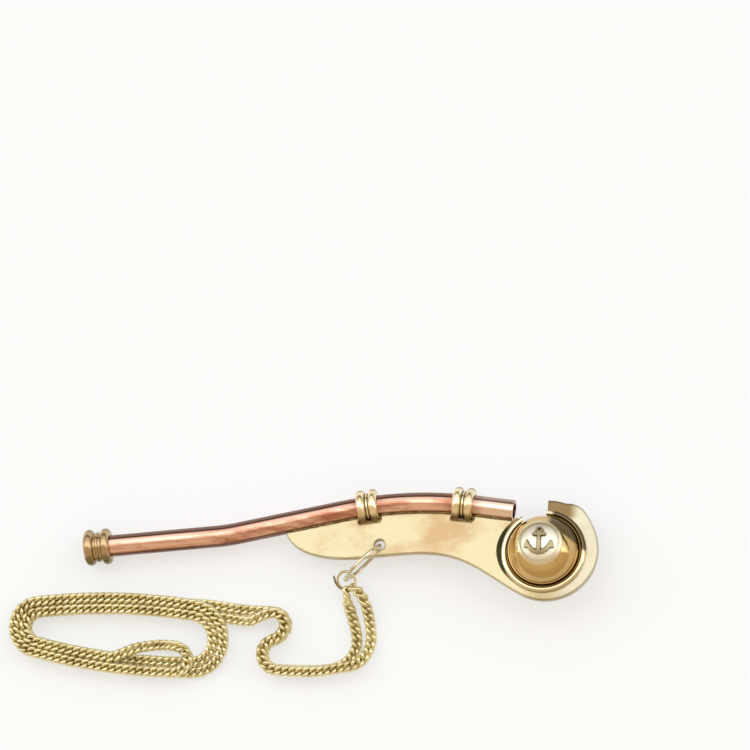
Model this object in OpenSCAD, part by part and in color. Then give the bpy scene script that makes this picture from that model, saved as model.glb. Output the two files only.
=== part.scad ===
// Boatswain's call with its neck chain, lying on its side on a flat surface.
// X runs along the call, Y towards the gun tube's side, Z up. Millimetres.

/* [Gun tube] */
// Outside diameter of the tube
tube_d = 5.3; // [4.8:0.1:5.8]
// Bore of the tube
tube_bore = 4; // [3.4:0.1:4.3]
// Straight run at the mouth
mouth_run = 33; // [28:0.5:38]
// Straight run between the two bends
middle_run = 26; // [22:0.5:30]
// Straight run at the jet end
jet_run = 9.5; // [8.5:0.1:11]
// Radius of the small bend
small_bend_r = 40; // [30:1:60]
// Radius of the crown bend
crown_bend_r = 98; // [90:1:110]
// Rise of the mouth run, in degrees
mouth_rise = 5.6; // [4:0.1:7]
// Rise of the middle run, in degrees
middle_rise = 12.4; // [11:0.1:14]
// Fall of the jet run, in degrees
jet_fall = 7; // [6:0.1:8]
// Jet end ahead of the buoy's middle
jet_ahead = 7.8; // [7.4:0.1:8.6]
// Jet end above the buoy's middle
jet_height = 10.5; // [10.2:0.1:11.4]

/* [Collars] */
// Largest diameter of the mouth collar
mouth_collar_d = 8.8; // [8.2:0.1:9.4]
// Length of the mouth collar
mouth_collar_len = 6.4; // [6:0.1:7.5]
// Largest diameter of the rear and front collars
collar_d = 8.6; // [8:0.1:9.2]
// Length of the rear and front collars
collar_len = 5.2; // [4.8:0.1:6]
// Rear collar from the jet end, along the tube
rear_collar_at = 36; // [34:0.5:40]
// Front collar from the jet end, along the tube
front_collar_at = 12.4; // [11:0.2:15]
// Gap between a collar and the tube
collar_gap = 0.04; // [0.03:0.01:0.08]

/* [Keel] */
// Thickness of the keel plate
keel_t = 1.5; // [1.2:0.1:2]
// Outside radius of the hoop round the buoy
hoop_r = 12.5; // [12:0.1:13]
// Hole for the shackle ring
keel_hole_d = 2.7; // [2.4:0.1:3]
// Keel hole ahead of the buoy's middle
keel_hole_ahead = 40.2; // [38:0.2:42]
// Keel hole above the buoy's middle
keel_hole_up = 1.6; // [1.4:0.1:2]
// Gap of the soldered seams
solder_gap = 0.04; // [0.03:0.01:0.08]

/* [Buoy] */
// Outside radius of the two cups
buoy_r = 8.9; // [8.7:0.1:9.1]
// Wall of the cups
buoy_wall = 0.7; // [0.5:0.05:0.9]
// Diameter of the air mouth
mouth_d = 6.6; // [6.2:0.1:6.8]
// Air mouth ahead of the buoy's middle
mouth_ahead = 2.6; // [2.2:0.1:3]
// Radius of the bead round a cup's foot, at its middle
foot_r = 9.65; // [9.55:0.05:9.8]
// Thickness of that bead
foot_bead = 1.3; // [1.2:0.05:1.4]

/* [Medallion] */
// Diameter of the medallion
medal_d = 10.8; // [10:0.1:11.6]
// Thickness of its field
medal_t = 0.6; // [0.5:0.05:0.8]
// Height of the anchor and rim over the field
relief = 0.35; // [0.25:0.05:0.5]
// Width of the rim
rim_w = 0.6; // [0.5:0.05:0.8]

/* [Shackle ring] */
// Radius of the ring at the middle of its wire
shackle_r = 5.9; // [5.6:0.1:6.2]
// Wire of the ring
shackle_wire = 0.9; // [0.8:0.05:1]
// Direction of the ring in plan from the keel hole, in degrees
shackle_heading = 225; // [215:1:235]
// Radius of the joining ring at the middle of its wire
joining_r = 2.4; // [2.3:0.05:2.6]
// Wire of the joining ring
joining_wire = 0.7; // [0.6:0.05:0.75]

/* [Chain] */
// Radius of a link at the middle of its wire
link_r = 1.35; // [1.3:0.01:1.38]
// Wire of a link
link_wire = 0.6; // [0.5:0.02:0.62]
// Distance from link to link
link_pitch = 1.72; // [1.68:0.01:1.76]

/* [Hidden] */
CHAIN_NODES = ["chain_outer_drop", "chain_outer_lead", "chain_outer_top", "chain_outer_left",
  "chain_outer_bottom", "chain_outer_climb", "chain_outer_over_top", "chain_outer_over_left",
  "chain_outer_over_bottom", "chain_end_fold", "chain_inner_over_bottom", "chain_inner_over_left",
  "chain_inner_over_top", "chain_inner_climb", "chain_inner_bottom", "chain_inner_left",
  "chain_inner_top", "chain_inner_lead", "chain_inner_drop"];
$fn = 64;

tube_r = tube_d / 2;
// Middle of the hoop, from the buoy's middle
hoop_c = [0.6, 0.4];
// The tube draws in by this much where it is bent, and its straight runs lap over the bends
bend_draw = 0.01;
bend_lap = 0.2;
brass = [0.83, 0.66, 0.30];
pale_brass = [0.88, 0.78, 0.52];
copper = [0.78, 0.45, 0.33];

// Points along the tube's centreline, in the plane of the keel, from the jet end back to the mouth.
// The buoy's middle is the origin of that plane.
function heading(a) = [cos(a), sin(a)];
function left_of(a) = [-sin(a), cos(a)];
jet_end = [-jet_ahead, jet_height];
crown_end = jet_end - jet_run * heading(-jet_fall);
crown_c = crown_end - crown_bend_r * left_of(-jet_fall);
crown_start = crown_c + crown_bend_r * left_of(middle_rise);
small_end = crown_start - middle_run * heading(middle_rise);
small_c = small_end + small_bend_r * left_of(middle_rise);
small_start = small_c - small_bend_r * left_of(mouth_rise);
mouth_end = small_start - mouth_run * heading(mouth_rise);
crown_turn = middle_rise + jet_fall;
small_turn = middle_rise - mouth_rise;

// Slope of the tube at a distance back from the jet end, on the jet run or the crown bend
function slope_at(s) = -jet_fall + max(0, s - jet_run) / crown_bend_r * 180 / PI;
// Point of the centreline there
function tube_at(s) = s < jet_run
  ? jet_end - s * heading(-jet_fall)
  : crown_c + crown_bend_r * left_of(slope_at(s));

// The call rests on the far cup, the mouth collar and the rear collar. The lean of the call's plane
// follows from the radii of these three.
mouth_bead_share = 0.19;
mouth_bead_r = mouth_collar_len * mouth_bead_share;
mouth_rest = mouth_end + mouth_bead_r * heading(mouth_rise);
rear_rest = tube_at(rear_collar_at);
mouth_drop = mouth_collar_d / 2 - buoy_r;
rear_drop = collar_d / 2 - buoy_r;
rest_det = mouth_rest[0] * rear_rest[1] - mouth_rest[1] * rear_rest[0];
lean_u = (mouth_drop * rear_rest[1] - rear_drop * mouth_rest[1]) / rest_det;
lean_v = (mouth_rest[0] * rear_drop - rear_rest[0] * mouth_drop) / rest_det;
up_axis = [lean_u, lean_v, sqrt(1 - lean_u * lean_u - lean_v * lean_v)];
along_raw = [1, 0, 0] - lean_u * up_axis;
along_axis = along_raw / norm(along_raw);
across_axis = cross(up_axis, along_axis);

// The middle of the call's own length and width goes over the origin
x_low = along_axis * [mouth_end[0], mouth_end[1], 0];
x_high = along_axis * [hoop_c[0], hoop_c[1], 0] + hoop_r;
y_low = across_axis * [hoop_c[0], hoop_c[1], 0] - hoop_r * across_axis[1] - keel_t / 2 * across_axis[2];
y_high = across_axis * [rear_rest[0], rear_rest[1], 0] + collar_d / 2;
buoy_at = [-(x_low + x_high) / 2, -(y_low + y_high) / 2, buoy_r];

// Place on the surface of a point of the call's own plane
function laid(p) = buoy_at + [along_axis * p, across_axis * p, up_axis * p];

module lay_down() {
  multmatrix([
    [along_axis[0], along_axis[1], along_axis[2], buoy_at[0]],
    [across_axis[0], across_axis[1], across_axis[2], buoy_at[1]],
    [up_axis[0], up_axis[1], up_axis[2], buoy_at[2]],
    [0, 0, 0, 1]])
    children();
}

// Gun tube
module tube_run(r, len) {
  rotate([0, 90, 0])
    cylinder(r = r, h = len);
}

// A bend that starts at the origin along X and turns about a centre on the side of turn_side
module tube_bend(r, bend_r, turn, turn_side) {
  translate([0, turn_side * bend_r, 0])
    rotate([0, 0, turn_side > 0 ? -90 : 90 - turn])
      rotate_extrude(angle = turn, $fn = 96)
        translate([bend_r, 0])
          circle(r = r);
}

module past_bend(bend_r, turn, turn_side) {
  translate([0, turn_side * bend_r, 0])
    rotate([0, 0, turn_side * turn])
      translate([0, -turn_side * bend_r, 0])
        children();
}

// The whole bent rod of radius r, its ends run on by over
module tube_rod(r, over) {
  translate([mouth_end[0], mouth_end[1], 0])
    rotate([0, 0, mouth_rise]) {
      translate([-over, 0, 0])
        tube_run(r, mouth_run + over + bend_lap);
      translate([mouth_run, 0, 0]) {
        tube_bend(r - bend_draw, small_bend_r, small_turn, 1);
        past_bend(small_bend_r, small_turn, 1) {
          translate([-bend_lap, 0, 0])
            tube_run(r, middle_run + 2 * bend_lap);
          translate([middle_run, 0, 0]) {
            tube_bend(r - bend_draw, crown_bend_r, crown_turn, -1);
            past_bend(crown_bend_r, crown_turn, -1)
              translate([-bend_lap, 0, 0])
                tube_run(r, jet_run + over + bend_lap);
          }
        }
      }
    }
}

module gun_tube() {
  color(copper)
    lay_down()
      difference() {
        tube_rod(tube_r, 0);
        tube_rod(tube_bore / 2, 1);
      }
}

// Collars: turned profiles, drawn with the tube's axis up the page
collar_bore_r = tube_r + collar_gap;
bead_r = 0.7;
ridge_r = 0.4;
lobe_r = 1.1;
groove_ridge_r = 0.3;

module collar_bead(at, r, top_r) {
  difference() {
    union() {
      translate([top_r - r, at])
        circle(r = r);
      translate([collar_bore_r - r, at - r])
        square([top_r - collar_bore_r, 2 * r]);
    }
    translate([collar_bore_r - 3 * r, at - 2 * r])
      square([3 * r, 4 * r]);
  }
}

module mouth_collar() {
  second_r = mouth_bead_r - 0.1;
  second_at = mouth_collar_len - second_r;
  color(brass)
    lay_down()
      translate([mouth_end[0], mouth_end[1], 0])
        rotate([0, 90, mouth_rise])
          rotate_extrude() {
            collar_bead(mouth_bead_r, mouth_bead_r, mouth_collar_d / 2);
            collar_bead((mouth_bead_r + second_at) / 2, ridge_r, mouth_collar_d / 2 - bead_r);
            collar_bead(second_at, second_r, mouth_collar_d / 2);
            translate([collar_bore_r, mouth_bead_r])
              square([bead_r, second_at - mouth_bead_r]);
          }
}

module spool_collar(at) {
  color(brass)
    lay_down()
      translate([tube_at(at)[0], tube_at(at)[1], 0])
        rotate([0, 90, slope_at(at)])
          translate([0, 0, -collar_len / 2])
            rotate_extrude() {
              collar_bead(lobe_r, lobe_r, collar_d / 2);
              collar_bead(collar_len / 2, groove_ridge_r, collar_d / 2 - lobe_r + groove_ridge_r);
              collar_bead(collar_len - lobe_r, lobe_r, collar_d / 2);
              translate([collar_bore_r, lobe_r])
                square([ridge_r, collar_len - 2 * lobe_r]);
            }
}

module rear_collar() { spool_collar(rear_collar_at); }

module front_collar() { spool_collar(front_collar_at); }

// Keel plate
fin_tip = [-63.5, 4.6];
fin_belly = [-46, -1.8];
fin_waist = [-29, -0.45];
fin_heel = [-4.5, -11];
curve_steps = 10;

function bezier(p, t) = pow(1 - t, 3) * p[0] + 3 * t * pow(1 - t, 2) * p[1]
  + 3 * t * t * (1 - t) * p[2] + t * t * t * p[3];
function curve(p) = [for (i = [1 : curve_steps]) bezier(p, i / curve_steps)];

// Lower edge of the fin, from the tip on the tube to the heel on the hoop
fin_edge = concat(
  curve([fin_tip, fin_tip + [2, -5.4], fin_belly + [-8, -0.6], fin_belly]),
  curve([fin_belly, fin_belly + [6, 0.5], fin_waist + [-6, 0], fin_waist]),
  curve([fin_waist, fin_waist + [11, 0], fin_heel + [-8, 3.8], fin_heel]));

module fin_outline() {
  polygon(concat(
    [small_end, fin_tip], fin_edge,
    [hoop_c, jet_end, crown_end, tube_at((jet_run + rear_collar_at) / 2), crown_start]));
}

// The beak: the plate's upper end, which stands out past the hoop and points back over the air mouth
beak_tip = [0.5, 10.8];
beak_crown = [9.6, 10];
beak_root = [4.6, 8];
module beak_outline() {
  polygon(concat(
    [hoop_c, hoop_c + [hoop_r, 0]],
    curve([hoop_c + [hoop_r, 0], [13.1, 4.2], [11.3, 7.8], beak_crown]),
    curve([beak_crown, [8.2, 12.2], [4.4, 13.2], beak_tip])));
}

module collar_notch(at) {
  translate([tube_at(at)[0], tube_at(at)[1], 0])
    rotate([0, 90, slope_at(at)])
      cylinder(d = collar_d + 2 * solder_gap, h = collar_len + 2 * solder_gap, center = true);
}

module air_mouth() {
  translate([-mouth_ahead, 0, 0])
    rotate([-90, 0, 0])
      cylinder(d = mouth_d, h = 2 * hoop_r);
}

chamber_r = buoy_r - 2 * buoy_wall;

module keel_plate() {
  color(pale_brass)
    lay_down()
      difference() {
        linear_extrude(height = keel_t, center = true)
          difference() {
            union() {
              fin_outline();
              beak_outline();
              translate(hoop_c)
                circle(r = hoop_r, $fn = 96);
            }
            circle(r = chamber_r, $fn = 96);
            translate([-keel_hole_ahead, keel_hole_up])
              circle(d = keel_hole_d);
            polygon([[-jet_ahead - 1, 2 * hoop_r], jet_end + [-1, 0], [-jet_ahead, buoy_r * 0.6],
              [0, buoy_r * 0.6], beak_root, beak_tip - [0, 0.4], beak_tip, beak_tip + [0, hoop_r]]);
          }
        tube_rod(tube_r + solder_gap, 0);
        collar_notch(rear_collar_at);
        collar_notch(front_collar_at);
      }
}

// Buoy: two pressed cups with a bead round the foot, soldered to the keel plate's faces
foot_sunk = 0.38;
foot_rise = keel_t / 2 + foot_sunk * foot_bead;

module cup_profile() {
  difference() {
    union() {
      circle(r = buoy_r);
      square([foot_r, foot_rise]);
      translate([foot_r, foot_rise])
        circle(d = foot_bead, $fn = 64);
    }
    circle(r = buoy_r - buoy_wall);
    translate([-2 * buoy_r, -2 * buoy_r])
      square([2 * buoy_r, 4 * buoy_r]);
    translate([-2 * buoy_r, keel_t / 2 - 4 * buoy_r])
      square(4 * buoy_r);
  }
}

module buoy_cup(side) {
  color(brass)
    lay_down()
      difference() {
        rotate([side > 0 ? 0 : 180, 0, 0])
          rotate_extrude($fn = 96)
            cup_profile();
        air_mouth();
      }
}

module near_buoy_cup() { buoy_cup(1); }

module far_buoy_cup() { buoy_cup(-1); }

// Medallion with a plain anchor, dished to the near cup
field_r = buoy_r + solder_gap + medal_t;
anchor_h = medal_d * 0.62;
stem_w = 0.75;

module anchor_outline() {
  arm_r = anchor_h * 0.42;
  translate([-stem_w / 2, -anchor_h * 0.48])
    square([stem_w, anchor_h * 0.86]);
  translate([-anchor_h * 0.24, anchor_h * 0.2])
    square([anchor_h * 0.48, stem_w]);
  translate([0, anchor_h * 0.42])
    difference() {
      circle(r = stem_w * 1.1);
      circle(r = stem_w * 0.5);
    }
  difference() {
    circle(r = arm_r + stem_w / 2);
    circle(r = arm_r - stem_w / 2);
    translate([-anchor_h, -arm_r * 0.35])
      square(2 * anchor_h);
  }
  for (side = [-1, 1])
    translate([side * arm_r, -arm_r * 0.3])
      polygon(stem_w * [[-1.1, -0.9], [1.1, -0.9], [0.3 * side, 1.6]]);
}

module medallion() {
  color(brass)
    lay_down() {
      difference() {
        intersection() {
          sphere(r = field_r, $fn = 96);
          cylinder(d = medal_d, h = 2 * buoy_r);
        }
        sphere(r = buoy_r + solder_gap, $fn = 96);
      }
      difference() {
        intersection() {
          sphere(r = field_r + relief, $fn = 96);
          linear_extrude(height = 2 * buoy_r) {
            anchor_outline();
            difference() {
              circle(d = medal_d);
              circle(d = medal_d - 2 * rim_w);
            }
          }
        }
        sphere(r = buoy_r + solder_gap + medal_t / 2, $fn = 96);
      }
    }
}

// Shackle ring, threaded through the keel hole and down on the surface
hole_at = laid([-keel_hole_ahead, keel_hole_up, 0]);
floor_gap = 0.05;
shackle_z = shackle_r + shackle_wire / 2 + floor_gap;
hole_angle = asin((hole_at[2] - shackle_z) / shackle_r);
away = [cos(shackle_heading), sin(shackle_heading), 0];
shackle_c = [hole_at[0], hole_at[1], shackle_z] + shackle_r * cos(hole_angle) * away;

module wire_ring(r, wire) {
  rotate_extrude()
    translate([r, 0])
      circle(d = wire);
}

module shackle_ring() {
  color(brass)
    translate(shackle_c)
      rotate([90, 0, shackle_heading])
        wire_ring(shackle_r, shackle_wire);
}

// Joining ring, low on the far side of the shackle ring, which holds both ends of the chain
hang_angle = 25;
hang_out = cos(hang_angle) * away - [0, 0, sin(hang_angle)];
hang_side = [-sin(shackle_heading), cos(shackle_heading), 0];
hang_at = shackle_c + shackle_r * hang_out;
hang_ride = 0.9;
joining_c = hang_at + hang_ride * hang_out;

module joining_ring() {
  color(brass)
    translate(joining_c)
      rotate([0, hang_angle, shackle_heading])
        wire_ring(joining_r, joining_wire);
}

// Chain: round links, tilted to the two sides in turn, each through the next. It is one long loop.
// The outer strand goes out to a coil, once round it and once more over its own first turn. It folds
// at the lower right and comes back as the inner strand, beside or on the outer one all the way.
link_tilt = 45;
link_slant = 10;
strand_r = link_r * sin(link_tilt) + link_wire / 2;
strand_gap = 0.15;
lane = 2 * strand_r + strand_gap;
link_hook = 0.5;
floor_z = strand_r + floor_gap;

// A point on the joining ring's plane, at an angle from the shackle ring's direction
function on_joining(angle, r) = joining_c + r * (cos(angle) * hang_out + sin(angle) * hang_side);
outer_end = 42;
inner_end = 92;
function chain_end(angle) = [on_joining(angle, joining_r + link_hook),
  on_joining(angle, joining_r + link_hook + link_pitch)];

// Chosen points, from the joining ring's middle and from a strand on the surface: first each strand's
// own drop from the joining ring, then the pair. The last number of a point of the pair tells how far
// the inner strand has rolled off the outer one there: 0 on top, 45 at its shoulder, 90 beside it.
joined = [joining_c[0], joining_c[1], floor_z];
outer_drop = [[0.5, -6.4, 0.4], [1.5, -9.6, 0.2], [2.3, -12.8, 0.1], [2.3, -16, 0], [0.6, -19, 0]];
inner_drop = [[4.6, -5.4, 1.6], [5.3, -8.2, 0.7], [5.8, -11.4, 0.2], [5.9, -14.6, 0.3],
  [5, -17.6, 1.4], [2.6, -20.2, 2.7]];
pair = [[-2.8, -21, 8], [-6.6, -21.6, 8], [-10.6, -21.7, 8], [-14.2, -21.6, 8], [-16.9, -21.5, 6],
  [-18.7, -21, 4], [-20, -19.7, 3], [-20.5, -17.9, 3], [-20, -16.1, 3], [-18.7, -14.8, 3],
  [-17, -14.1, 3], [-15.7, -12.9, 3], [-14.9, -11.2, 3], [-15.2, -9.4, 3], [-16.4, -8.1, 3],
  [-18.1, -7.5, 8], [-20.5, -7.4, 24], [-23.4, -7.3, 54], [-26.8, -7, 79], [-30.8, -6.4, 88],
  [-35, -5.9, 90]];
function from_joined(list) = [for (p = list) joined + p];
function flat(p) = [p[0], p[1], 0];
function pair_left(i) = let (t = flat(pair[min(len(pair) - 1, i + 1)] - pair[max(0, i - 1)]))
  [-t[1], t[0], 0] / norm(t);
function aside(roll) = roll < 45 ? lane * tan(roll) : lane;
function above(roll) = roll > 45 ? lane / tan(roll) : lane;
outer_lead = [for (p = pair) joined + flat(p)];
inner_lead = [for (i = [0 : len(pair) - 1])
  outer_lead[i] + aside(pair[i][2]) * pair_left(i) + [0, 0, above(pair[i][2])]];

// Coil: a lens of four arcs, wider at the right. The inner strand keeps their middles, and the second
// turn lies on the first.
left_c = joined + [-75.6, -11.8, 0];
left_r = 6.3;
right_c = joined + [-38.3, -14.3, 0];
right_r = 8.3;
top_r = 150;
bottom_r = 150;
end_steps = 8;
run_steps = 16;
// Middle of a long arc that runs into both end arcs
function run_middle(r, side) = let (d = norm(right_c - left_c), e = (right_c - left_c) / d,
    m = ((r - left_r) * (r - left_r) - (r - right_r) * (r - right_r) + d * d) / (2 * d))
  left_c + m * e + side * sqrt((r - left_r) * (r - left_r) - m * m) * [-e[1], e[0], 0];
function turn_of(v) = atan2(v[1], v[0]);
top_c = run_middle(top_r, -1);
bottom_c = run_middle(bottom_r, 1);
top_from = turn_of(right_c - top_c);
top_to = turn_of(left_c - top_c);
bottom_from = turn_of(left_c - bottom_c) + 360;
bottom_to = turn_of(right_c - bottom_c) + 360;
climb_from = 288;
climb_to = 374;
function eased(k) = k * k * (3 - 2 * k);
function climb(a) = lane * eased(min(1, max(0, (a - climb_from) / (climb_to - climb_from))));
function arc(c, r, from, to, steps, rise) = [for (i = [1 : steps])
  let (a = from + (to - from) * i / steps) c + [r * cos(a), r * sin(a), rise]];
function coil_top(in, rise) = arc(top_c, top_r - in, top_from, top_to, run_steps, rise);
function coil_left(in, rise) = arc(left_c, left_r - in, top_to, bottom_from, end_steps, rise);
function coil_bottom(in, rise, share) = arc(bottom_c, bottom_r - in, bottom_from,
  bottom_from + share * (bottom_to - bottom_from), round(share * run_steps), rise);
function coil_right(in) = [for (i = [1 : end_steps])
  let (a = bottom_to + (top_from + 360 - bottom_to) * i / end_steps)
  right_c + [(right_r - in) * cos(a), (right_r - in) * sin(a), climb(a)]];

// The fold at the lower right of the second turn, where the two strands meet. It comes down to the
// surface inside the coil.
fold = [[-45.2, -22.5, lane], [-42.5, -22.6, lane], [-40.5, -22, lane], [-39, -20.6, lane],
  [-38.8, -18.7, lane], [-39.8, -17.1, lane], [-41.5, -16.3, lane - 0.3], [-43.4, -16, lane - 1.2],
  [-45.2, -15.9, lane - 2.2], [-47, -15.9, lane - 2.6], [-48.8, -16.1, lane - 2],
  [-50.5, -16.4, lane - 0.9], [-52.4, -17, lane], [-54.8, -18, lane]];
outer_over = 0.75;
inner_over = 0.5;

function backwards(list) = [for (i = [len(list) - 1 : -1 : 0]) list[i]];
stretches = [
  concat(chain_end(outer_end), from_joined(outer_drop)), outer_lead,
  coil_top(0, 0), coil_left(0, 0), coil_bottom(0, 0, 1), coil_right(0),
  coil_top(0, lane), coil_left(0, lane), coil_bottom(0, lane, outer_over),
  from_joined(fold),
  backwards(coil_bottom(lane, lane, inner_over)), backwards(coil_left(lane, lane)),
  backwards(coil_top(lane, lane)), backwards(coil_right(lane)), backwards(coil_bottom(lane, 0, 1)),
  backwards(coil_left(lane, 0)), backwards(coil_top(lane, 0)), backwards(inner_lead),
  concat(backwards(from_joined(inner_drop)), backwards(chain_end(inner_end)))];
route = [for (points = stretches, p = points) p];

// A smooth line through the chosen points, and its length up to each of its own points
smooth_steps = 6;
function spline(a, b, c, d, t) = 0.5 * (2 * b + (c - a) * t + (2 * a - 5 * b + 4 * c - d) * t * t
  + (3 * b - a - 3 * c + d) * t * t * t);
last = len(route) - 1;
line = concat([for (i = [0 : last - 1], k = [0 : smooth_steps - 1])
  spline(route[max(0, i - 1)], route[i], route[i + 1], route[min(last, i + 2)], k / smooth_steps)],
  [route[last]]);
function lengths(i = 0, sum = 0, out = []) = i == len(line) ? out
  : let (next = i == 0 ? 0 : sum + norm(line[i] - line[i - 1])) lengths(i + 1, next, concat(out, [next]));
reach = lengths();
chain_len = reach[len(reach) - 1];
link_count = 2 * round(chain_len / link_pitch / 2);
step = chain_len / (link_count - 1);

// Index of the stretch of line that holds the length s, and the place there
function stretch_at(s, low, high) = high - low < 2 ? low
  : let (mid = floor((low + high) / 2))
    reach[mid] <= s ? stretch_at(s, mid, high) : stretch_at(s, low, mid);
function place_at(s) = let (i = stretch_at(s, 0, len(line) - 1))
  line[i] + (line[i + 1] - line[i]) * (s - reach[i]) / (reach[i + 1] - reach[i]);

// The links next to the joining ring stand upright, and ease into the lie of the rest
end_roll = 45;
roll_links = 6;
function link_roll(i) = end_roll * (max(0, 1 - i / roll_links)
  - max(0, 1 - (link_count - 1 - i) / roll_links));

module chain_link(i) {
  s = i * step;
  ahead = place_at(min(chain_len, s + step / 2)) - place_at(max(0, s - step / 2));
  translate(place_at(s))
    rotate([0, -asin(ahead[2] / norm(ahead)), atan2(ahead[1], ahead[0])])
      rotate([0, 0, link_slant])
        rotate([link_roll(i) + (i % 2 == 0 ? link_tilt : -link_tilt), 0, 0])
          wire_ring(link_r, link_wire);
}

// First link of a stretch
function points_before(k) = k == 0 ? 0 : points_before(k - 1) + len(stretches[k - 1]);
function first_link(k) = k == len(stretches) ? link_count
  : ceil(reach[smooth_steps * points_before(k)] / step);

module chain_stretch(k) {
  color(brass)
    for (i = [first_link(k) : first_link(k + 1) - 1])
      chain_link(i);
}

gun_tube();
mouth_collar();
rear_collar();
front_collar();
keel_plate();
near_buoy_cup();
far_buoy_cup();
medallion();
shackle_ring();
joining_ring();
for (k = [0 : len(CHAIN_NODES) - 1])
  chain_stretch(k);
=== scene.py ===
import math

import bpy
from mathutils import Matrix, Vector


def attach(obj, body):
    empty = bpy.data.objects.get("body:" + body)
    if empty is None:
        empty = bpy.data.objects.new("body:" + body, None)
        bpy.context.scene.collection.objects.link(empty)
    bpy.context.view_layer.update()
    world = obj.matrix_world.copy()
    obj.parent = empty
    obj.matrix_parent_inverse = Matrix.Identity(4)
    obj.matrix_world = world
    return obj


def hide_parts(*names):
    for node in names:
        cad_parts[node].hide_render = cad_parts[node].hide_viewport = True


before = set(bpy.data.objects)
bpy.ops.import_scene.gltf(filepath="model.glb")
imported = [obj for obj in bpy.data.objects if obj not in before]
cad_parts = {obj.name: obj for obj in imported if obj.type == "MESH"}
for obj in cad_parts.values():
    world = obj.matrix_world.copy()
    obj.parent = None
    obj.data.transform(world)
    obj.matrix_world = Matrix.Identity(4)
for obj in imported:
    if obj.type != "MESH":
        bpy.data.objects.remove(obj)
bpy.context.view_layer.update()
scene = bpy.context.scene
scene.view_settings.view_transform = "Standard"

# Gun tube: thin drawn copper tube, bent in two easy curves and polished by hand, so that the draw
# marks run along it. It is brightest towards the jet. A painted dark reflection runs along its upper
# side and its lower edge, brown stains stay near the soldered collars, and the brown blotches on its
# lower side are stains with a painted dark reflection.
MM = 0.001
buoy_at = Vector((49.9725, -1.6734, 8.9))
along_call = Vector((0.999253, 0.0, 0.038651))
across_call = Vector((0.0099594, 0.966232, -0.257482))
up_call = Vector((-0.0373458, 0.257675, 0.96551))
MOUTH_RUN, MIDDLE_RUN, JET_RUN = 33.0, 26.0, 9.5
MOUTH_RISE, MIDDLE_RISE, JET_FALL = 5.6, 12.4, 7.0
SMALL_R, CROWN_R = 40.0, 98.0
REAR_COLLAR, FRONT_COLLAR = 36.0, 12.4
JET_END = Vector((-7.8, 10.5, 0))


def turned(angle):
    """A step of one millimetre in plan, at an angle in degrees from X."""
    return Vector((math.cos(math.radians(angle)), math.sin(math.radians(angle)), 0))


crown_end = JET_END - JET_RUN * turned(-JET_FALL)
crown_c = crown_end - CROWN_R * turned(90 - JET_FALL)
crown_start = crown_c + CROWN_R * turned(90 + MIDDLE_RISE)
crown_len = CROWN_R * math.radians(MIDDLE_RISE + JET_FALL)
small_end = crown_start - MIDDLE_RUN * turned(MIDDLE_RISE)
small_start = small_end + SMALL_R * (turned(90 + MIDDLE_RISE) - turned(90 + MOUTH_RISE))
mouth_end = small_start - MOUTH_RUN * turned(MOUTH_RISE)


def tube_at(s):
    """Middle of the tube in the call's plane, back from the jet end, and its slope there in degrees."""
    if s < JET_RUN:
        return JET_END - s * turned(-JET_FALL), -JET_FALL
    if s < JET_RUN + crown_len:
        slope = -JET_FALL + math.degrees((s - JET_RUN) / CROWN_R)
        return crown_c + CROWN_R * turned(90 + slope), slope
    return crown_start - (s - JET_RUN - crown_len) * turned(MIDDLE_RISE), MIDDLE_RISE


class Shade:
    """A socket in a material's nodes; arithmetic on it adds Math nodes."""

    def __init__(self, tree, socket=None):
        self.tree = tree
        self.socket = socket

    def node(self, kind, settings, sockets, out=0):
        made = self.tree.nodes.new(kind)
        for name, value in settings.items():
            if name == "stops":
                ramp = made.color_ramp
                ramp.elements.remove(ramp.elements[1])
                ramp.elements[0].position = value[0][0]
                ramp.elements[0].color = (*value[0][1], 1)
                for at, colour in value[1:]:
                    ramp.elements.new(at).color = (*colour, 1)
            else:
                setattr(made, name, value)
        for name, value in sockets.items():
            if isinstance(value, Shade):
                self.tree.links.new(value.socket, made.inputs[name])
            else:
                made.inputs[name].default_value = value
        return Shade(self.tree, made.outputs[out])

    def maths(self, operation, a, b):
        return self.node("ShaderNodeMath", {"operation": operation}, {0: a, 1: b})

    def __add__(self, other):
        return self.maths("ADD", self, other)

    def __sub__(self, other):
        return self.maths("SUBTRACT", self, other)

    def __rsub__(self, other):
        return self.maths("SUBTRACT", other, self)

    def __mul__(self, other):
        return self.maths("MULTIPLY", self, other)

    def __truediv__(self, other):
        return self.maths("DIVIDE", self, other)

    def __abs__(self):
        return self.maths("ABSOLUTE", self, 0)

    __radd__, __rmul__ = __add__, __mul__


def new_metal(name):
    """An empty material with its output and a metal surface, and the place of each point in millimetres."""
    material = bpy.data.materials.new(name)
    material.use_nodes = True
    tree = material.node_tree
    surface = tree.nodes["Principled BSDF"]
    surface.inputs["Metallic"].default_value = 1.0
    start = Shade(tree)
    at = start.node("ShaderNodeTexCoord", {}, {}, "Object")
    at = start.node("ShaderNodeVectorMath", {"operation": "SCALE"}, {0: at, "Scale": 1000.0})
    return material, surface, at


def clouds(at, scale, detail=4.0, rough=0.55, stretch=(1, 1, 1)):
    """Soft noise from 0 to 1, with the size of its spots in millimetres."""
    spots = [k / scale for k in stretch]
    at = at.node("ShaderNodeVectorMath", {"operation": "MULTIPLY"}, {0: at, 1: spots})
    return at.node("ShaderNodeTexNoise", {},
                   {"Vector": at, "Scale": 1.0, "Detail": detail, "Roughness": rough})


def steps(value, low, high):
    """0 below low, 1 above high, eased between."""
    return value.node("ShaderNodeMapRange", {"interpolation_type": "SMOOTHSTEP"},
                      {"Value": value, "From Min": low, "From Max": high})


def blend_colours(factor, first, second):
    """The first colour where the factor is 0, and the second where it is 1."""
    first, second = (c if isinstance(c, Shade) else (*c, 1) for c in (first, second))
    return factor.node("ShaderNodeMix", {"data_type": "RGBA"}, {0: factor, 6: first, 7: second}, 2)


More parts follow.
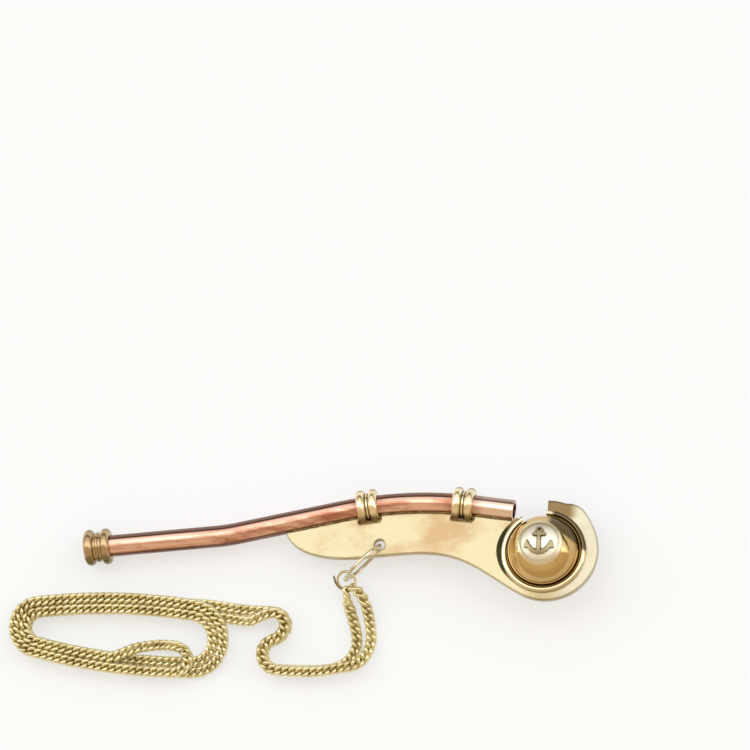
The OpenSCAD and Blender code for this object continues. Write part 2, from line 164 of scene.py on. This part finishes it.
def connect(surface, **inputs):
    """Links what changes over a surface to the shader's own sockets."""
    for name, value in inputs.items():
        value.tree.links.new(value.socket, surface.inputs[name.replace("_", " ")])


def dents(height, depth):
    """Bumps of a depth in millimetres."""
    return height.node("ShaderNodeBump", {}, {"Height": height, "Distance": depth * MM, "Strength": 1.0})


def from_buoy(at, axis):
    """How far a point is from the buoy's middle, along one of the call's own axes."""
    away = at.node("ShaderNodeVectorMath", {"operation": "SUBTRACT"}, {0: at, 1: buoy_at})
    return at.node("ShaderNodeVectorMath", {"operation": "DOT_PRODUCT"}, {0: away, 1: axis}, "Value")


def beside_tube(at):
    """How far a point is above the tube's middle line, in the call's plane."""
    u = from_buoy(at, along_call)
    slope = math.tan(math.radians(MOUTH_RISE))
    middle = mouth_end.y + slope * (u - mouth_end.x)
    for start, end, rise in ((small_start, small_end, MIDDLE_RISE), (crown_start, crown_end, -JET_FALL)):
        change = math.tan(math.radians(rise)) - slope
        bend_len = end.x - start.x
        bent = at.maths("MINIMUM", at.maths("MAXIMUM", u - start.x, 0), bend_len)
        past = at.maths("MAXIMUM", u - end.x, 0)
        middle = middle + change * (bent * bent / (2 * bend_len) + past)
        slope = slope + change
    return from_buoy(at, across_call) - middle


def finish_node(name, material):
    """Gives a piece of the frame its material, and leaves its shape."""
    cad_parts[name].data.materials.clear()
    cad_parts[name].data.materials.append(material)


tube_copper, surface, at = new_metal("tube_copper")
u, w = from_buoy(at, along_call), from_buoy(at, up_call)
aside = beside_tube(at)
MARKS_FROM, MARKS_LONG = -60, 50
lengthwise = at.node("ShaderNodeCombineXYZ", {}, {0: (u - MARKS_FROM) / MARKS_LONG, 1: aside, 2: w})
draw_marks = clouds(lengthwise, 0.5, 4.0, 0.6)
blotches = steps(clouds(at, 4.5, 5.0, 0.66, (0.3, 1, 1)), 0.41, 0.6)
fresh = steps(u, -24, -14)
# Brown blotches on the lower side: stains, and a painted dark reflection there.
stains_and_painted_reflection = blotches * (1 - steps(aside, -0.6, 0.8)) * (1 - 0.9 * fresh)
by_rear, by_front = (1 - steps(abs(u - tube_at(s)[0].x), 2.4, 5.5) for s in (REAR_COLLAR, FRONT_COLLAR))
heat = (by_rear + by_front) * clouds(at, 1.6, 4.0)
# Painted dark reflection: a band along the upper side on the upward half, and a thin line along the lower
# edge.
painted_dark_edges = steps(aside, 0.5, 1.05) * steps(w, -0.4, 0.7) + steps(0 - aside, 2.1, 2.5)
copper = blend_colours(steps(draw_marks, 0.42, 0.64), (0.95, 0.62, 0.48), (0.82, 0.46, 0.31))
copper = blend_colours(0.8 * fresh, copper, (0.98, 0.76, 0.62))
copper = blend_colours(0.9 * stains_and_painted_reflection, copper, (0.44, 0.16, 0.085))
copper = blend_colours((0.88 - 0.25 * fresh) * painted_dark_edges, copper, (0.13, 0.06, 0.045))
connect(surface,
        Base_Color=blend_colours(heat, copper, (0.34, 0.12, 0.07)),
        Roughness=0.12 + 0.14 * draw_marks + 0.1 * stains_and_painted_reflection,
        Normal=dents(draw_marks, 0.014))
finish_node("gun_tube", tube_copper)

# Collars: three turned brass rings soldered on the tube, with bright lobes and tool marks round them.
# Old polish and painted shade darken the grooves, and a painted dark reflection darkens the upper and
# lower sides. The one at the mouth is browned by handling.
def open_air(at, reach, samples):
    """How open a point is, from 0 in a deep groove to 1, for what is within reach in millimetres."""
    return at.node("ShaderNodeAmbientOcclusion", {"only_local": True, "samples": samples},
                   {"Distance": reach * MM}, "AO")


collar_brass, surface, at = new_metal("collar_brass")
tool_marks = clouds(at, 0.16, 2.0, 0.5, (1, 0.05, 0.05))
dull = steps(clouds(at, 2.5), 0.45, 0.7)
# Darker in the grooves, by how closed in each point is: old polish and painted shade.
grime_and_painted_shade = 1 - steps(open_air(at, 1.2, 8), 0.3, 0.75)
HANDLED_TO, CLEAN_FROM = -57, -50
handled = 1 - steps(at.node("ShaderNodeSeparateXYZ", {}, {0: at}, "X"), HANDLED_TO, CLEAN_FROM)
turned_brass = blend_colours(dull, (0.95, 0.83, 0.56), (0.78, 0.63, 0.36))
turned_brass = blend_colours(0.85 * handled, turned_brass, (0.46, 0.30, 0.14))
# Painted dark reflection on the upper and lower sides of each collar.
painted_dark_reflection_sides = steps(abs(beside_tube(at)) + 0.5 * clouds(at, 1.2), 3.0, 3.9)
turned_brass = blend_colours(0.75 * painted_dark_reflection_sides, turned_brass, (0.15, 0.11, 0.045))
connect(surface,
        Base_Color=blend_colours(0.8 * grime_and_painted_shade, turned_brass, (0.20, 0.12, 0.05)),
        Roughness=0.15 + 0.12 * tool_marks + 0.2 * grime_and_painted_shade,
        Normal=dents(tool_marks, 0.01))
for name in ("mouth_collar", "rear_collar", "front_collar"):
    finish_node(name, collar_brass)

# Keel plate: one piece of sheet brass, sawn to its outline with the hoop round the buoy, and buffed
# pale along its length. Polish has left warm smears on it. A painted dark reflection lies along its
# edges and on the beak over the air mouth, and painted shade darkens the bottom of the hoop.
keel_brass, surface, at = new_metal("keel_brass")
buffing = clouds(at, 0.5, 4.0, 0.6, (0.06, 1, 1))
u, v = from_buoy(at, along_call), from_buoy(at, across_call)
SMEARED_AT = -29
rubbed = 1 - steps(abs(u - SMEARED_AT), 2, 11)
smears = steps(clouds(at, 8.0, 5.0, 0.62, (0.6, 1, 1)) + 0.16 * rubbed, 0.46, 0.72)
spots = steps(clouds(at, 1.4, 3.0, 0.6), 0.66, 0.78)
pale = blend_colours(smears, (0.63, 0.55, 0.34), (0.56, 0.38, 0.20))
hoop = steps(u, 1, 6)
pale = blend_colours(0.75 * hoop, pale, (0.60, 0.56, 0.43))
# Painted shade, darker along the bottom of the hoop.
painted_shade_below = steps(0 - v, 8.5, 11.5) * steps(u, -8, -2)
pale = blend_colours(0.6 * painted_shade_below, pale, (0.40, 0.33, 0.19))
# Painted dark reflection on the beak over the air mouth.
painted_dark_reflection = steps(v + 1.2 * clouds(at, 1.5), 8.4, 9.8) * steps(u, -1.5, 0) * (1 - steps(u, 5.5, 8.5))
pale = blend_colours(painted_dark_reflection, pale, (0.24, 0.16, 0.07))
filed_edge = at.node("ShaderNodeBevel", {"samples": 6}, {"Radius": 0.8 * MM})
true_face = at.node("ShaderNodeNewGeometry", {}, {}, "True Normal")
# Painted dark reflection along the plate's edges, found from the Bevel node's rounded normal.
rim = 1 - at.node("ShaderNodeVectorMath", {"operation": "DOT_PRODUCT"}, {0: filed_edge, 1: true_face},
                  "Value")
pale = blend_colours(0.85 * steps(rim, 0.02, 0.2), pale, (0.27, 0.21, 0.10))
connect(surface,
        Base_Color=blend_colours(0.6 * spots, pale, (0.36, 0.27, 0.13)),
        Roughness=0.3 + 0.14 * buffing + 0.06 * smears,
        Normal=buffing.node("ShaderNodeBump", {}, {"Height": buffing, "Distance": 0.012 * MM, "Strength": 1.0,
                                                   "Normal": filed_edge}))
finish_node("keel_plate", keel_brass)

# Solder seams: a thin hand-run bead along both faces where the keel plate meets the tube, browned by
# the flame. At a collar it goes round the foot of the collar instead.
def laid(u, v, w=0.0):
    """A point of the call's own plane, where it lies on the surface."""
    return buoy_at + u * along_call + v * across_call + w * up_call


def mesh_piece(name, verts, faces, material):
    """A smooth piece of the scene, from points in millimetres."""
    mesh = bpy.data.meshes.new(name)
    mesh.from_pydata([v * MM for v in verts], [], faces)
    mesh.validate()
    mesh.polygons.foreach_set("use_smooth", [True] * len(mesh.polygons))
    mesh.materials.append(material)
    piece = bpy.data.objects.new(name, mesh)
    scene.collection.objects.link(piece)
    return piece


def wire_loop(points, radius, sides, verts, faces, closed=True):
    """Adds a round wire along the points, and a flat cap on each open end."""
    n, first = len(points), len(verts)
    normal = None
    for i, p in enumerate(points):
        after = points[(i + 1) % n] if closed or i + 1 < n else p
        before = points[i - 1] if closed or i > 0 else p
        along = (after - before).normalized()
        if normal is None:
            normal = along.orthogonal()
        normal = (normal - along * normal.dot(along)).normalized()
        other = along.cross(normal)
        for k in range(sides):
            a = 2 * math.pi * k / sides
            verts.append(p + radius * (math.cos(a) * normal + math.sin(a) * other))
    turns = 0
    if closed:
        along = (points[1] - points[-1]).normalized()
        back = (verts[first] - points[0]).normalized()
        carried = (normal - along * normal.dot(along)).normalized()
        angle = math.atan2(along.dot(carried.cross(back)), carried.dot(back))
        turns = round(angle / (2 * math.pi) * sides)
    for i in range(n if closed else n - 1):
        shift = turns if i == n - 1 else 0
        for k in range(sides):
            m = (k + 1) % sides
            j = (i + 1) % n
            faces.append((first + i * sides + k, first + i * sides + m,
                          first + j * sides + (m - shift) % sides, first + j * sides + (k - shift) % sides))
    if not closed:
        faces.append(tuple(first + k for k in reversed(range(sides))))
        faces.append(tuple(first + (n - 1) * sides + k for k in range(sides)))


solder, surface, at = new_metal("solder")
lumps = clouds(at, 0.8, 4.0)
connect(surface,
        Base_Color=blend_colours(steps(lumps, 0.35, 0.65), (0.34, 0.23, 0.10), (0.16, 0.09, 0.04)),
        Roughness=0.3 + 0.25 * lumps,
        Normal=dents(lumps, 0.05))
SEAM_R, SEAM_DROP, SEAM_OUT, SEAM_STEP = 0.24, 2.56, 0.84, 0.5
SEAM_WAVER, SEAM_SWELL = 0.05, 0.03
BEAD_SIDES = 10
seams = ((0.5, 9.4), (15.3, 33.1), (38.9, 55.6))
verts, faces = [], []
for face in (-1, 1):
    for start, stop in seams:
        count = int((stop - start) / SEAM_STEP)
        bead = []
        for i in range(count + 1):
            s = start + (stop - start) * i / count
            middle, slope = tube_at(s)
            p = middle - (SEAM_DROP + SEAM_WAVER * math.sin(2.3 * s + face)) * turned(90 + slope)
            bead.append(laid(p.x, p.y, face * (SEAM_OUT + SEAM_SWELL * math.sin(1.7 * s))))
        wire_loop(bead, SEAM_R, BEAD_SIDES, verts, faces, closed=False)
COLLAR_HALF, NOTCH = 2.5, 4.05
COLLAR_BEAD_R, COLLAR_BEAD_OUT = 0.36, 0.55
collar_bead = [(-COLLAR_HALF, NOTCH), (-1.2, NOTCH), (0, NOTCH), (1.2, NOTCH), (COLLAR_HALF, NOTCH),
               (2.95, 3.7), (3.0, 3.1), (2.9, 2.6)]
for face in (-1, 1):
    for s in (REAR_COLLAR, FRONT_COLLAR):
        middle, slope = tube_at(s)
        bead = []
        for along, down in collar_bead:
            p = middle + along * turned(slope) - down * turned(90 + slope)
            bead.append(laid(p.x, p.y, face * COLLAR_BEAD_OUT))
        wire_loop(bead, COLLAR_BEAD_R, BEAD_SIDES, verts, faces, closed=False)
keel_solder = mesh_piece("keel_solder", verts, faces, solder)
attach(keel_solder, "call")

# Buoy: two cups pressed from thin sheet brass and soldered to the faces of the hoop. They are polished,
# with a rolled foot that is rubbed bright. A painted reflection makes them tan towards the foot and
# darker at the lower right, a painted dark reflection lies beside the air mouth, and dirt and painted
# shade darken them where the plate closes in.
buoy_brass, surface, at = new_metal("buoy_brass")
ripple = clouds(at, 3.0, 2.0)
dull = steps(clouds(at, 5.0), 0.5, 0.75)
# Dirt and painted shade where the plate and the foot close in.
grime_and_painted_shade = 1 - steps(open_air(at, 0.8, 8), 0.45, 0.85)
pressed = blend_colours(dull, (0.76, 0.56, 0.25), (0.66, 0.45, 0.18))
u, v, w = (from_buoy(at, axis) for axis in (along_call, across_call, up_call))
height = abs(w)
# The lower right side, where the painted reflection is darker, on the cups and on their foot.
painted_reflection_lower_right = steps(u - v, -3, 8)
# Painted reflection: tan towards the foot all round, darker tan at the lower right.
pressed = blend_colours(1 - steps(height, 5.3, 6.8), pressed, (0.61, 0.40, 0.16))
pressed = blend_colours((1 - steps(height, 2.0, 5.5)) * painted_reflection_lower_right, pressed, (0.45, 0.30, 0.12))
rolled_foot = steps(u * u + v * v, 79, 84)
bright = blend_colours(painted_reflection_lower_right, (0.88, 0.80, 0.58), (0.76, 0.66, 0.42))
pressed = blend_colours(rolled_foot, pressed, bright)
# Painted dark reflection beside the air mouth.
painted_dark_reflection = steps(v + 0.5 * u + 1.0 * clouds(at, 2.0), 5.0, 6.2) * steps(u, 1.0, 2.5)
pressed = blend_colours(0.94 * painted_dark_reflection, pressed, (0.085, 0.06, 0.02))
connect(surface,
        Base_Color=blend_colours(grime_and_painted_shade, pressed, (0.18, 0.11, 0.03)),
        Roughness=0.07 + 0.08 * dull + 0.05 * clouds(at, 0.6) + 0.15 * grime_and_painted_shade,
        Normal=dents(ripple, 0.03))
finish_node("near_buoy_cup", buoy_brass)
finish_node("far_buoy_cup", buoy_brass)

# Solder round the cups: a fillet between the rolled foot and the hoop, narrow all round and wide on
# the tube's side of the near cup, where a painted shadow makes it very dark.
solder_and_painted_shadow, surface, at = new_metal("solder_and_painted_shadow")
lumps = clouds(at, 0.8, 4.0)
# Painted shadow: the pool on the tube's side is very dark, where the plate meets the foot.
painted_shadow_pool = 1 - steps(from_buoy(at, along_call), -9.6, -7.2)
pale_solder = blend_colours(steps(lumps, 0.35, 0.65), (0.50, 0.38, 0.18), (0.30, 0.20, 0.09))
connect(surface,
        Base_Color=blend_colours(painted_shadow_pool, pale_solder, (0.045, 0.04, 0.016)),
        Roughness=0.3 + 0.2 * lumps,
        Normal=dents(lumps, 0.05))
KEEL_HALF = 0.75
FOOT_OUT, FOOT_IN = 10.25, 0.25
FILLET_ACROSS, FILLET_ROUND = 6, 120
FILLET_WIDE, FILLET_TALL, FILLET_SINK = 0.22, 0.25, 0.03
POOL_AT, POOL_WIDE, POOL_TALL = 172, 1.6, 0.4
MOUTH_FROM, MOUTH_TO = 62, 128
verts, faces = [], []
for face in (-1, 1):
    first = len(verts)
    for i in range(FILLET_ROUND):
        a = 360 * i / FILLET_ROUND
        pool = max(0, math.cos(math.radians(a - POOL_AT))) ** 3 if face > 0 else 0
        wide = FILLET_WIDE + POOL_WIDE * pool
        tall = FILLET_TALL + POOL_TALL * pool
        for k in range(FILLET_ACROSS + 1):
            x = k / FILLET_ACROSS
            out = (FOOT_OUT - FOOT_IN + (wide + FOOT_IN) * x) * turned(a)
            verts.append(laid(out.x, out.y, face * (KEEL_HALF - FILLET_SINK + tall * (1 - x) ** 2.2)))
    for i in range(FILLET_ROUND):
        if MOUTH_FROM < 360 * (i + 0.5) / FILLET_ROUND < MOUTH_TO:
            continue
        here = first + i * (FILLET_ACROSS + 1)
        there = first + (i + 1) % FILLET_ROUND * (FILLET_ACROSS + 1)
        for k in range(FILLET_ACROSS):
            corners = [here + k, there + k, there + k + 1, here + k + 1]
            faces.append(tuple(corners if face < 0 else corners[::-1]))
foot_solder = mesh_piece("foot_solder", verts, faces, solder_and_painted_shadow)
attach(foot_solder, "call")

# Medallion: a small struck brass disc with a plain anchor and a rim, soldered to the near cup. Its
# field and rim are rubbed bright and the anchor is brown, with painted shade at the foot of the relief.
medal_brass, surface, at = new_metal("medal_brass")
FIELD_R = 9.54
away = at.node("ShaderNodeVectorMath", {"operation": "SUBTRACT"}, {0: at, 1: buoy_at})
height = at.node("ShaderNodeVectorMath", {"operation": "LENGTH"}, {0: away}, "Value")
raised = steps(height, FIELD_R + 0.05, FIELD_R + 0.3)
u, v = from_buoy(at, along_call), from_buoy(at, across_call)
inside = 1 - steps(u * u + v * v, 15, 20)
# Painted shade at the foot of the anchor's relief, weaker at the rim.
grime_and_painted_shade = (1 - steps(open_air(at, 1.3, 12), 0.6, 0.96)) * (0.25 + 0.75 * inside)
grain = clouds(at, 0.4, 3.0)
struck = blend_colours(raised, (0.94, 0.90, 0.74), (0.84, 0.76, 0.53))
struck = blend_colours(0.85 * raised * inside, struck, (0.30, 0.23, 0.11))
connect(surface,
        Base_Color=blend_colours(grime_and_painted_shade, struck, (0.11, 0.075, 0.025)),
        Roughness=0.34 - 0.1 * raised + 0.1 * grain + 0.2 * grime_and_painted_shade,
        Normal=dents(grain, 0.02))
finish_node("medallion", medal_brass)

# Joining ring and shackle ring: drawn brass wire, bent round and closed with a butt joint.
# The shackle ring goes through the keel hole, and the joining ring hangs on it with both chain ends.
ring_brass, surface, at = new_metal("ring_brass")
drawn = clouds(at, 0.5, 3.0)
dull = steps(clouds(at, 3.0), 0.38, 0.66)
connect(surface,
        Base_Color=blend_colours(dull, (0.92, 0.86, 0.68), (0.58, 0.50, 0.32)),
        Roughness=0.16 + 0.14 * drawn,
        Normal=dents(drawn, 0.015))
finish_node("shackle_ring", ring_brass)
finish_node("joining_ring", ring_brass)

# Tail of the joining ring: the wire's free end, bent up in a small hook beside the closed ring, and
# browned where it was soldered.
tail_brass, surface, at = new_metal("tail_brass")
scale_marks = clouds(at, 0.4, 3.0)
connect(surface,
        Base_Color=blend_colours(steps(scale_marks, 0.35, 0.7), (0.42, 0.33, 0.20), (0.13, 0.10, 0.07)),
        Roughness=0.28 + 0.16 * scale_marks,
        Normal=dents(scale_marks, 0.02))
joining_c = Vector((1.30581, -8.64004, 3.5262))
TAIL_WIRE, TAIL_SIDES = 0.55, 12
tail = [(-0.1, -2.15, -0.75), (-0.8, -2.1, -0.75), (-1.6, -1.75, -0.7), (-2.3, -1.15, -0.5),
        (-2.75, -0.35, -0.2), (-3.0, 0.55, 0.15), (-3.1, 1.35, 0.4)]
verts, faces = [], []
wire_loop([joining_c + Vector(p) for p in tail], TAIL_WIRE / 2, TAIL_SIDES, verts, faces, closed=False)
joining_tail = mesh_piece("joining_tail", verts, faces, tail_brass)
soft = joining_tail.modifiers.new("smooth", "SUBSURF")
soft.levels = soft.render_levels = 2
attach(joining_tail, "chain")

# Neck chain: small twisted brass curb links, each soldered shut, one closed loop on the joining ring.
# It lies in a lead of two strands and a lens-shaped coil of two turns, and folds at the lower right.
# Its strands keep the route and the spacing of the round links in the frame.
LINK_LONG, LINK_WIDE, LINK_TWIST, LINK_WIRE = 1.36, 0.94, 0.72, 0.9
LINK_POINTS, LINK_SIDES = 22, 8
LINK_PITCH = 1.72
END_LINKS = 3
LINK_SWAY, SWAY_STEP = 5, 0.37
ROUND_LINK_R, ROUND_LINK_WIRE, ROUND_LINK_TILT = 1.35, 0.6, 45
STRAND_R = ROUND_LINK_R * math.sin(math.radians(ROUND_LINK_TILT)) + ROUND_LINK_WIRE / 2
STRAND_GAP, FLOOR_GAP = 0.15, 0.05
LANE = 2 * STRAND_R + STRAND_GAP
STRAND_Z = STRAND_R + FLOOR_GAP
hang_out = Vector((-0.640856, -0.640856, -0.422618))
hang_side = Vector((0.707107, -0.707107, 0.0))
JOINING_R = 2.4
LINK_HOOK = 0.5
joined = Vector((joining_c.x, joining_c.y, STRAND_Z))


def chain_end(angle):
    """Middles of a strand's first two links, at an angle round the joining ring."""
    out = turned(angle).x * hang_out + turned(angle).y * hang_side
    return [joining_c + (JOINING_R + LINK_HOOK + more) * out for more in (0, LINK_PITCH)]


def from_joined(points):
    """Points that are given from under the joining ring's middle."""
    return [joined + Vector(p) for p in points]


outer_drop = [(0.5, -6.4, 0.4), (1.5, -9.6, 0.2), (2.3, -12.8, 0.1), (2.3, -16, 0), (0.6, -19, 0)]
inner_drop = [(4.6, -5.4, 1.6), (5.3, -8.2, 0.7), (5.8, -11.4, 0.2), (5.9, -14.6, 0.3), (5, -17.6, 1.4),
              (2.6, -20.2, 2.7)]
pair = [(-2.8, -21, 8), (-6.6, -21.6, 8), (-10.6, -21.7, 8), (-14.2, -21.6, 8), (-16.9, -21.5, 6),
        (-18.7, -21, 4), (-20, -19.7, 3), (-20.5, -17.9, 3), (-20, -16.1, 3), (-18.7, -14.8, 3),
        (-17, -14.1, 3), (-15.7, -12.9, 3), (-14.9, -11.2, 3), (-15.2, -9.4, 3), (-16.4, -8.1, 3),
        (-18.1, -7.5, 8), (-20.5, -7.4, 24), (-23.4, -7.3, 54), (-26.8, -7, 79), (-30.8, -6.4, 88),
        (-35, -5.9, 90)]
outer_lead, inner_lead = [], []
for i, (x, y, roll) in enumerate(pair):
    before, after = pair[max(0, i - 1)], pair[min(len(pair) - 1, i + 1)]
    left = Vector((before[1] - after[1], after[0] - before[0], 0)).normalized()
    slope = math.tan(math.radians(roll))
    aside = LANE * slope if roll < 45 else LANE
    above = LANE / slope if roll > 45 else LANE
    outer_lead.append(joined + Vector((x, y, 0)))
    inner_lead.append(outer_lead[-1] + aside * left + Vector((0, 0, above)))

LEFT_R, RIGHT_R, RUN_R = 6.3, 8.3, 150
left_c = joined + Vector((-75.6, -11.8, 0))
right_c = joined + Vector((-38.3, -14.3, 0))
CLIMB_FROM, CLIMB_TO = 288, 374
END_STEPS, RUN_STEPS = 8, 16


def run_middle(side):
    """Middle of a long arc of the coil, which runs into the arcs at both ends."""
    apart = (right_c - left_c).length
    way = (right_c - left_c) / apart
    along = ((RUN_R - LEFT_R) ** 2 - (RUN_R - RIGHT_R) ** 2 + apart ** 2) / (2 * apart)
    across = math.sqrt((RUN_R - LEFT_R) ** 2 - along ** 2)
    return left_c + along * way + side * across * Vector((-way.y, way.x, 0))


def heading_of(v):
    """Angle of a step in plan, in degrees from X."""
    return math.degrees(math.atan2(v.y, v.x))


def arc(middle, radius, start, stop, count, rise):
    """Points on an arc after its start, with a height for each angle."""
    points = []
    for i in range(1, count + 1):
        a = start + (stop - start) * i / count
        points.append(middle + radius * turned(a) + Vector((0, 0, rise(a))))
    return points


def climb(a):
    """Height of the strand as it climbs on its own first turn."""
    k = min(1, max(0, (a - CLIMB_FROM) / (CLIMB_TO - CLIMB_FROM)))
    return LANE * k * k * (3 - 2 * k)


top_c, bottom_c = run_middle(-1), run_middle(1)
top_from, top_to = heading_of(right_c - top_c), heading_of(left_c - top_c)
bottom_from, bottom_to = heading_of(left_c - bottom_c) + 360, heading_of(right_c - bottom_c) + 360


def turn_of_coil(inset, rise, share):
    """Top run, left end and a share of the bottom run of one turn."""
    bottom_stop = bottom_from + share * (bottom_to - bottom_from)
    return (arc(top_c, RUN_R - inset, top_from, top_to, RUN_STEPS, rise)
            + arc(left_c, LEFT_R - inset, top_to, bottom_from, END_STEPS, rise)
            + arc(bottom_c, RUN_R - inset, bottom_from, bottom_stop, round(share * RUN_STEPS), rise))


def coil(inset, share):
    """One turn on the surface, the climb at the right end, and part of a turn on top of it."""
    return (turn_of_coil(inset, lambda a: 0, 1)
            + arc(right_c, RIGHT_R - inset, bottom_to, top_from + 360, END_STEPS, climb)
            + turn_of_coil(inset, lambda a: LANE, share))


fold = [(-45.2, -22.5, LANE), (-42.5, -22.6, LANE), (-40.5, -22, LANE), (-39, -20.6, LANE),
        (-38.8, -18.7, LANE), (-39.8, -17.1, LANE), (-41.5, -16.3, LANE - 0.3), (-43.4, -16, LANE - 1.2),
        (-45.2, -15.9, LANE - 2.2), (-47, -15.9, LANE - 2.6), (-48.8, -16.1, LANE - 2),
        (-50.5, -16.4, LANE - 0.9), (-52.4, -17, LANE), (-54.8, -18, LANE)]
OUTER_END, INNER_END = 42, 92
OUTER_SHARE, INNER_SHARE = 0.75, 0.5
outer_strand = chain_end(OUTER_END) + from_joined(outer_drop) + outer_lead + coil(0, OUTER_SHARE)
inner_strand = chain_end(INNER_END) + from_joined(inner_drop) + inner_lead + coil(LANE, INNER_SHARE)
route = outer_strand + from_joined(fold) + inner_strand[::-1]

SMOOTH_STEPS = 6
line = []
for i in range(len(route) - 1):
    a, b, c, d = (route[min(len(route) - 1, max(0, i + k))] for k in (-1, 0, 1, 2))
    for k in range(SMOOTH_STEPS):
        t = k / SMOOTH_STEPS
        line.append(0.5 * (2 * b + (c - a) * t + (2 * a - 5 * b + 4 * c - d) * t * t
                           + (3 * b - a - 3 * c + d) * t * t * t))
line.append(route[-1])
reach = [0.0]
for p, q in zip(line, line[1:]):
    reach.append(reach[-1] + (q - p).length)
chain_len = reach[-1]
link_count = 2 * round(chain_len / LINK_PITCH / 2)


def place_at(s):
    """A point of the chain's line, at a length along it."""
    s = min(chain_len, max(0, s))
    i = next(k for k in range(len(reach) - 1) if reach[k + 1] >= s - 1e-9)
    return line[i].lerp(line[i + 1], (s - reach[i]) / (reach[i + 1] - reach[i]))


chain_brass, surface, at = new_metal("chain_brass")
dull = steps(clouds(at, 6.0), 0.42, 0.66)
worn = clouds(at, 0.35, 3.0)
connect(surface,
        Base_Color=blend_colours(dull, (0.87, 0.79, 0.50), (0.70, 0.61, 0.34)),
        Roughness=0.22 + 0.16 * worn + 0.06 * dull,
        Normal=dents(worn, 0.02))

verts, faces = [], []
for i in range(link_count):
    s = i * chain_len / (link_count - 1)
    ahead = (place_at(s + LINK_PITCH / 2) - place_at(s - LINK_PITCH / 2)).normalized()
    side = Vector((0, 0, 1)).cross(ahead).normalized()
    up = ahead.cross(side)
    from_end = min(i, link_count - 1 - i)
    lie = math.radians(LINK_SWAY * math.sin(SWAY_STEP * i) + 90 * max(0, 1 - from_end / END_LINKS))
    side, up = math.cos(lie) * side + math.sin(lie) * up, math.cos(lie) * up - math.sin(lie) * side
    wire = []
    for k in range(LINK_POINTS):
        t = 2 * math.pi * k / LINK_POINTS
        wire.append(place_at(s) + LINK_LONG * math.cos(t) * ahead + LINK_WIDE * math.sin(t) * side
                    - LINK_TWIST * math.sin(2 * t) * up)
    wire_loop(wire, LINK_WIRE / 2, LINK_SIDES, verts, faces)
neck_chain = mesh_piece("neck_chain", verts, faces, chain_brass)
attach(neck_chain, "chain")
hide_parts(*[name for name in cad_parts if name.startswith("chain_")])
route[0] * MM
[p * MM for p in line]

# Floor: a plain white surface that the call lies on. What is seen of it, also in the metal, is partly
# white of its own, which leaves the shadow soft.
FLOOR = 3.0
GLOW = 0.58
white = bpy.data.materials.new("white_floor")
white.use_nodes = True
start = Shade(white.node_tree)
plain = white.node_tree.nodes["Principled BSDF"]
plain.inputs["Base Color"].default_value = (0.89, 0.92, 0.96, 1)
plain.inputs["Roughness"].default_value = 0.9
seen = start.node("ShaderNodeLightPath", {}, {}, "Is Camera Ray")
seen = seen + start.node("ShaderNodeLightPath", {}, {}, "Is Glossy Ray")
seen = seen + start.node("ShaderNodeLightPath", {}, {}, "Is Transmission Ray")
glow = start.node("ShaderNodeEmission", {}, {"Color": (1, 1, 1, 1), "Strength": 1.0})
painted = Shade(white.node_tree, plain.outputs[0])
both = start.node("ShaderNodeMixShader", {}, {0: GLOW * seen, 1: painted, 2: glow})
white.node_tree.links.new(both.socket, white.node_tree.nodes["Material Output"].inputs["Surface"])
mesh = bpy.data.meshes.new("floor")
corners = [(-FLOOR, -FLOOR, 0), (FLOOR, -FLOOR, 0), (FLOOR, FLOOR, 0), (-FLOOR, FLOOR, 0)]
mesh.from_pydata(corners, [], [(0, 1, 2, 3)])
mesh.materials.append(white)
floor = bpy.data.objects.new("floor", mesh)
scene.collection.objects.link(floor)

# Light: a bright soft sky on the tube's side from overhead down, dark just above the horizon there,
# and a dimmer warm one on the chain's side.
sky = bpy.data.worlds.new("sky")
scene.world = sky
sky.use_nodes = True
start = Shade(sky.node_tree)
way = start.node("ShaderNodeTexCoord", {}, {}, "Generated")
towards_tube, upward = (start.node("ShaderNodeSeparateXYZ", {}, {0: way}, axis) for axis in "YZ")
round_x = start.maths("ARCTAN2", towards_tube, upward) / (2 * math.pi) + 0.5
SKY_TOP = 2.0
WARM = (1.0, 0.80, 0.62)
TAN = (1.0, 0.82, 0.60)


def sky_stop(degrees, level, tint=(1, 1, 1)):
    """A stop of the sky's ramp, at an angle from overhead towards the tube's side."""
    return degrees / 360 + 0.5, tuple(level * k / SKY_TOP for k in tint)


bands = start.node("ShaderNodeValToRGB", {"stops": [
    sky_stop(-180, 0.9), sky_stop(-97, 0.85), sky_stop(-84, 0.72, TAN), sky_stop(-20, 0.7, TAN),
    sky_stop(2, 0.7, TAN), sky_stop(10, 2.0), sky_stop(35, 1.9), sky_stop(43, 1.1), sky_stop(67, 1.1),
    sky_stop(76, 0.2, WARM), sky_stop(96, 0.1, WARM), sky_stop(180, 0.9)]}, {"Fac": round_x})
background = sky.node_tree.nodes["Background"]
sky.node_tree.links.new(bands.socket, background.inputs["Color"])
background.inputs["Strength"].default_value = SKY_TOP

# Camera: a long lens almost straight above the call, leaning a little to the buoy's side and to the
# chain's side. The call lies in the lower half of the frame.
FRAME_PIXELS = 750
MM_PER_PIXEL = 0.2438
CAMERA_AWAY = 1.3
LEAN_RIGHT = math.radians(8)
LEAN_DOWN = math.radians(4.6)
ROLL = math.radians(-0.74)
look_at = Vector((0.0071, 0.0418, 0.0))
to_camera = Vector((math.tan(LEAN_RIGHT), -math.tan(LEAN_DOWN), 1.0)).normalized()
level = Vector((0, 1, 0)).cross(to_camera).normalized()
camera_right = math.cos(ROLL) * level - math.sin(ROLL) * to_camera.cross(level)
camera_up = to_camera.cross(camera_right)
lens = bpy.data.cameras.new("camera")
lens.sensor_width = 36
lens.lens = lens.sensor_width * CAMERA_AWAY / (FRAME_PIXELS * MM_PER_PIXEL / 1000)
camera = bpy.data.objects.new("camera", lens)
turn = Matrix((camera_right, camera_up, to_camera)).transposed().to_4x4()
camera.matrix_world = Matrix.Translation(look_at + to_camera * CAMERA_AWAY) @ turn
scene.collection.objects.link(camera)
scene.camera = camera
